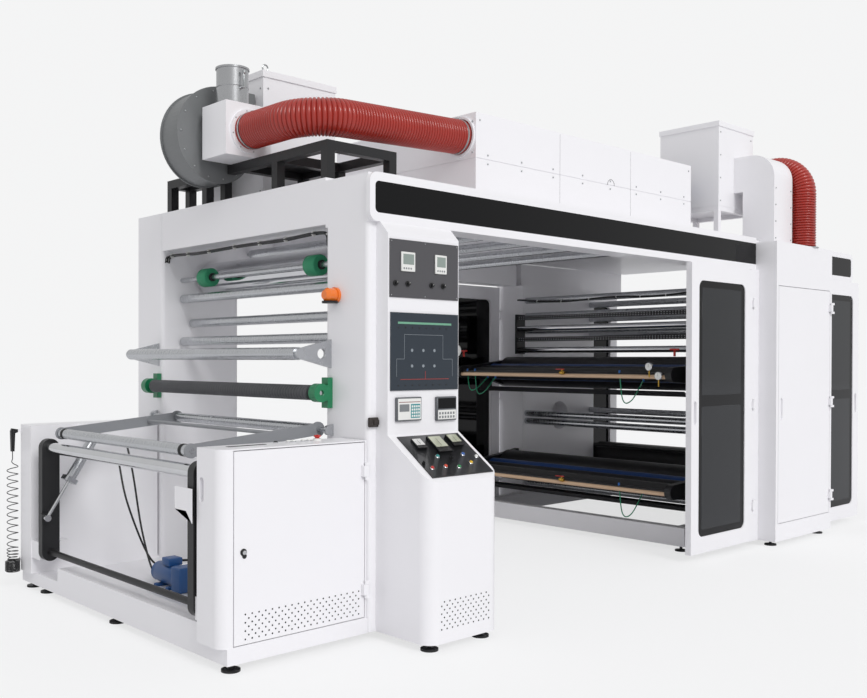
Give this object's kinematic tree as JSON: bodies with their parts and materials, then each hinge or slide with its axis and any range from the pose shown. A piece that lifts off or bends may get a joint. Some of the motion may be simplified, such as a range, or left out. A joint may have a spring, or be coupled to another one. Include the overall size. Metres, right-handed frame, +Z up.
{
  "type": "stack-type flexographic printing press",
  "caption": "Flexographic web printing press with a rewinder, a web tower with a control desk, an overhead drying tunnel and glazed print stations on both sides of a drive cabinet.",
  "frame": {"origin": "on the floor under the middle of the machine's outline", "axes": "+X along the machine from the rewinder to the print stations, the operator side at -Y, +Z up"},
  "size_m": [7.4778, 3.428, 3.73],
  "materials": {
    "aluminium": "anodised",
    "black_paint": "satin",
    "chrome": "polished",
    "dark_glass": "polished dark glass",
    "green_paint": "satin",
    "grey_paint": "satin",
    "hose_black": "coiled polyurethane",
    "hose_red": "ribbed silicone",
    "orange_lens": "moulded lens",
    "panel_dark": "satin",
    "plate_blue": "photopolymer",
    "stainless": "brushed",
    "steel": "brushed",
    "white_coat": "semi-gloss powder coat"
  },
  "bodies": {
    "root": {"rewinder_base": "white_coat", "levelling_feet": "steel", "near_rewind_cabinet": "white_coat", "far_rewind_cabinet": "white_coat", "near_tower_housing": "white_coat", "far_tower_housing": "white_coat", "header_end_beam": "white_coat", "near_fascia": "white_coat", "far_fascia": "white_coat", "fascia_glass": "dark_glass", "roof_deck": "white_coat", "bridge_rollers": "aluminium", "control_cabinet": "white_coat", "control_panels": "panel_dark", "beacon": "orange_lens", "tower_rollers": "aluminium", "spreader_bearings": "green_paint", "platform_frame": "black_paint", "mixing_box": "white_coat", "intake_stack": "stainless", "fan_scroll": "grey_paint", "left_heater": "white_coat", "right_heater": "white_coat", "left_hose": "hose_red", "right_hose": "hose_red", "drying_tunnel": "white_coat", "duct_cover": "white_coat", "print_base": "white_coat", "near_print_frame": "white_coat", "far_print_frame": "white_coat", "near_drive_cabinet": "white_coat", "far_drive_cabinet": "white_coat", "left_units": "black_paint", "right_units": "black_paint", "guide_rollers": "aluminium", "air_gun": "hose_black", "air_hose": "hose_black"},
    "near_rewind_door": {"near_rewind_door": "white_coat"},
    "unloading_arms": {"unloading_arms": "black_paint"},
    "reel_shaft": {"reel_shaft": "chrome"},
    "arm_cylinder": {"arm_cylinder": "aluminium"},
    "cylinder_rod": {"cylinder_rod": "chrome"},
    "lay_on_arms": {"lay_on_arms": "grey_paint"},
    "lay_on_roller": {"lay_on_roller": "aluminium"},
    "spreader_roller": {"spreader_roller": "aluminium"},
    "pull_drum": {"pull_drum": "chrome"},
    "near_drive_door": {"near_drive_door": "white_coat"},
    "far_drive_door": {"far_drive_door": "white_coat"},
    "left_near_door": {"left_near_door": "white_coat", "door_glass_left_near": "dark_glass"},
    "left_far_door": {"left_far_door": "white_coat", "door_glass_left_far": "dark_glass"},
    "right_near_door": {"right_near_door": "white_coat", "door_glass_right_near": "dark_glass"},
    "right_far_door": {"right_far_door": "white_coat", "door_glass_right_far": "dark_glass"},
    "plate_cylinder_1": {"plate_cylinder_1": "plate_blue"},
    "plate_cylinder_2": {"plate_cylinder_2": "plate_blue"},
    "plate_cylinder_3": {"plate_cylinder_3": "plate_blue"},
    "plate_cylinder_4": {"plate_cylinder_4": "plate_blue"}
  },
  "joints": [
    {"name": "near_rewind_door_hinge", "type": "hinge", "parent": "root", "child": "near_rewind_door", "pos_m": [-2.7125, -1.2865, 0.6], "axis": [0, 0, 1], "range_deg": [0, 95]},
    {"name": "unloading_arms_hinge", "type": "hinge", "parent": "root", "child": "unloading_arms", "pos_m": [-3.6035, -0.0415, 0.3], "axis": [0, -1, 0], "range_deg": [0, 25]},
    {"name": "reel_shaft_spin", "type": "hinge", "parent": "unloading_arms", "child": "reel_shaft", "pos_m": [-3.6035, 0.0985, 1], "axis": [0, 1, 0], "continuous": true},
    {"name": "arm_cylinder_pivot", "type": "hinge", "parent": "root", "child": "arm_cylinder", "pos_m": [-3.2935, 0.871, 1.11], "axis": [0, 1, 0], "range_deg": [0, 10]},
    {"name": "cylinder_rod_slide", "type": "slide", "parent": "arm_cylinder", "child": "cylinder_rod", "axis": [-0.534, 0, -0.8455], "range_m": [0, 0.11]},
    {"name": "lay_on_arms_hinge", "type": "hinge", "parent": "root", "child": "lay_on_arms", "pos_m": [-2.7235, 0.0985, 1.18], "axis": [0, 1, 0], "range_deg": [0, 30]},
    {"name": "lay_on_roller_spin", "type": "hinge", "parent": "lay_on_arms", "child": "lay_on_roller", "pos_m": [-3.5835, 0.0985, 1.103], "axis": [0, 1, 0], "continuous": true},
    {"name": "spreader_roller_spin", "type": "hinge", "parent": "root", "child": "spreader_roller", "pos_m": [-2.7735, 0.0985, 1.4], "axis": [0, 1, 0], "continuous": true},
    {"name": "pull_drum_spin", "type": "hinge", "parent": "root", "child": "pull_drum", "pos_m": [-2.2735, 0.0985, 2.2], "axis": [0, 1, 0], "continuous": true},
    {"name": "near_drive_door_hinge", "type": "hinge", "parent": "root", "child": "near_drive_door", "pos_m": [2.7425, -1.5065, 1.2], "axis": [0, 0, 1], "range_deg": [0, 90]},
    {"name": "far_drive_door_hinge", "type": "hinge", "parent": "root", "child": "far_drive_door", "pos_m": [2.7425, 1.7035, 1.2], "axis": [0, 0, -1], "range_deg": [0, 90]},
    {"name": "left_near_door_hinge", "type": "hinge", "parent": "root", "child": "left_near_door", "pos_m": [1.5615, -1.3665, 1.2], "axis": [0, 0, 1], "range_deg": [0, 100]},
    {"name": "left_far_door_hinge", "type": "hinge", "parent": "root", "child": "left_far_door", "pos_m": [1.5615, 1.5635, 1.2], "axis": [0, 0, -1], "range_deg": [0, 100]},
    {"name": "right_near_door_hinge", "type": "hinge", "parent": "root", "child": "right_near_door", "pos_m": [2.8265, -1.3665, 1.2], "axis": [0, 0, -1], "range_deg": [0, 90]},
    {"name": "right_far_door_hinge", "type": "hinge", "parent": "root", "child": "right_far_door", "pos_m": [2.8265, 1.5635, 1.2], "axis": [0, 0, 1], "range_deg": [0, 90]},
    {"name": "plate_cylinder_1_spin", "type": "hinge", "parent": "root", "child": "plate_cylinder_1", "pos_m": [1.1515, 0.0985, 0.52], "axis": [0, 1, 0], "continuous": true},
    {"name": "plate_cylinder_2_spin", "type": "hinge", "parent": "root", "child": "plate_cylinder_2", "pos_m": [1.1515, 0.0985, 1.48], "axis": [0, 1, 0], "continuous": true},
    {"name": "plate_cylinder_3_spin", "type": "hinge", "parent": "root", "child": "plate_cylinder_3", "pos_m": [3.2315, 0.0985, 0.52], "axis": [0, 1, 0], "continuous": true},
    {"name": "plate_cylinder_4_spin", "type": "hinge", "parent": "root", "child": "plate_cylinder_4", "pos_m": [3.2315, 0.0985, 1.48], "axis": [0, 1, 0], "continuous": true}
  ],
  "couplings": [
    {"joint": "arm_cylinder_pivot", "follows": "unloading_arms_hinge", "ratio": 0.17546},
    {"joint": "cylinder_rod_slide", "follows": "unloading_arms_hinge", "m_per_rad": 0.20805}
  ]
}
